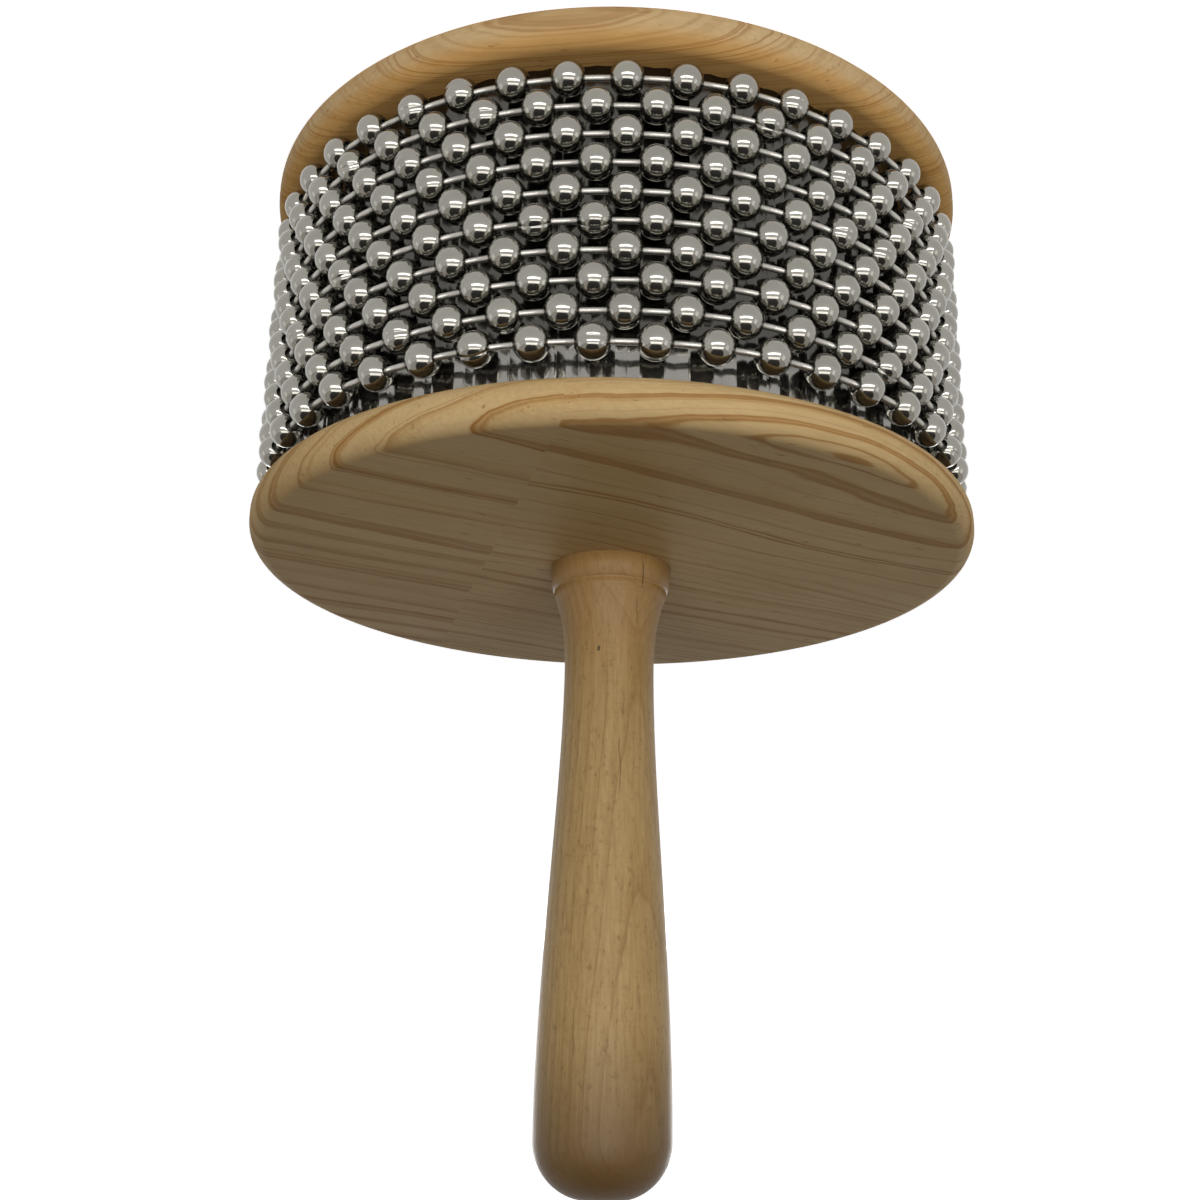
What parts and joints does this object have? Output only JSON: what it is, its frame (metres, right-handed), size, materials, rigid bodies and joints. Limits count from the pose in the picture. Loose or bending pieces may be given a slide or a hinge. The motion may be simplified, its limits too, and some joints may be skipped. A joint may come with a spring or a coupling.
{
  "type": "cabasa",
  "caption": "Hand percussion shaker: loops of steel bead chain turn round a fluted steel drum held between two wooden discs on a turned wooden handle.",
  "frame": {"origin": "centre of the end disc's outer face, which the part stands on", "axes": "+Z along the handle, from the end disc to the handle's free end; -Y is the side the picture shows"},
  "size_m": [0.12, 0.12, 0.1665],
  "materials": {
    "pine": "satin varnished pine",
    "handle_wood": "turned, satin",
    "core_wood": "sawn and turned",
    "sheet_steel": "bright fluted sheet",
    "nickel": "bright nickel plate",
    "fastener_steel": "zinc plated"
  },
  "bodies": {
    "drum": {"handle": "handle_wood", "handle_side_disc": "pine", "end_disc": "pine", "drum_core": "core_wood", "corrugated_sleeve": "sheet_steel", "sleeve_tacks": "fastener_steel", "draw_screw": "fastener_steel", "screw_plug": "pine"},
    "loop_01": {"bead_loop_01": "nickel", "link_pins_01": "nickel"},
    "loop_02": {"bead_loop_02": "nickel", "link_pins_02": "nickel"},
    "loop_03": {"bead_loop_03": "nickel", "link_pins_03": "nickel"},
    "loop_04": {"bead_loop_04": "nickel", "link_pins_04": "nickel"},
    "loop_05": {"bead_loop_05": "nickel", "link_pins_05": "nickel"},
    "loop_06": {"bead_loop_06": "nickel", "link_pins_06": "nickel"},
    "loop_07": {"bead_loop_07": "nickel", "link_pins_07": "nickel"},
    "loop_08": {"bead_loop_08": "nickel", "link_pins_08": "nickel"},
    "loop_09": {"bead_loop_09": "nickel", "link_pins_09": "nickel"},
    "loop_10": {"bead_loop_10": "nickel", "link_pins_10": "nickel"}
  },
  "joints": [
    {"name": "loop_01_turn", "type": "hinge", "parent": "drum", "child": "loop_01", "pos_m": [0, 0, 0.0116], "axis": [0, 0, 1], "continuous": true},
    {"name": "loop_02_slip", "type": "hinge", "parent": "loop_01", "child": "loop_02", "pos_m": [0, 0, 0.01635], "axis": [0, 0, 1], "range_deg": [-1.4, 1.4]},
    {"name": "loop_03_slip", "type": "hinge", "parent": "loop_02", "child": "loop_03", "pos_m": [0, 0, 0.0211], "axis": [0, 0, 1], "range_deg": [-1.4, 1.4]},
    {"name": "loop_04_slip", "type": "hinge", "parent": "loop_03", "child": "loop_04", "pos_m": [0, 0, 0.02585], "axis": [0, 0, 1], "range_deg": [-1.4, 1.4]},
    {"name": "loop_05_slip", "type": "hinge", "parent": "loop_04", "child": "loop_05", "pos_m": [0, 0, 0.0306], "axis": [0, 0, 1], "range_deg": [-1.4, 1.4]},
    {"name": "loop_06_slip", "type": "hinge", "parent": "loop_05", "child": "loop_06", "pos_m": [0, 0, 0.03535], "axis": [0, 0, 1], "range_deg": [-1.4, 1.4]},
    {"name": "loop_07_slip", "type": "hinge", "parent": "loop_06", "child": "loop_07", "pos_m": [0, 0, 0.0401], "axis": [0, 0, 1], "range_deg": [-1.4, 1.4]},
    {"name": "loop_08_slip", "type": "hinge", "parent": "loop_07", "child": "loop_08", "pos_m": [0, 0, 0.04485], "axis": [0, 0, 1], "range_deg": [-1.4, 1.4]},
    {"name": "loop_09_slip", "type": "hinge", "parent": "loop_08", "child": "loop_09", "pos_m": [0, 0, 0.0496], "axis": [0, 0, 1], "range_deg": [-1.4, 1.4]},
    {"name": "loop_10_slip", "type": "hinge", "parent": "loop_09", "child": "loop_10", "pos_m": [0, 0, 0.05435], "axis": [0, 0, 1], "range_deg": [-1.4, 1.4]}
  ]
}
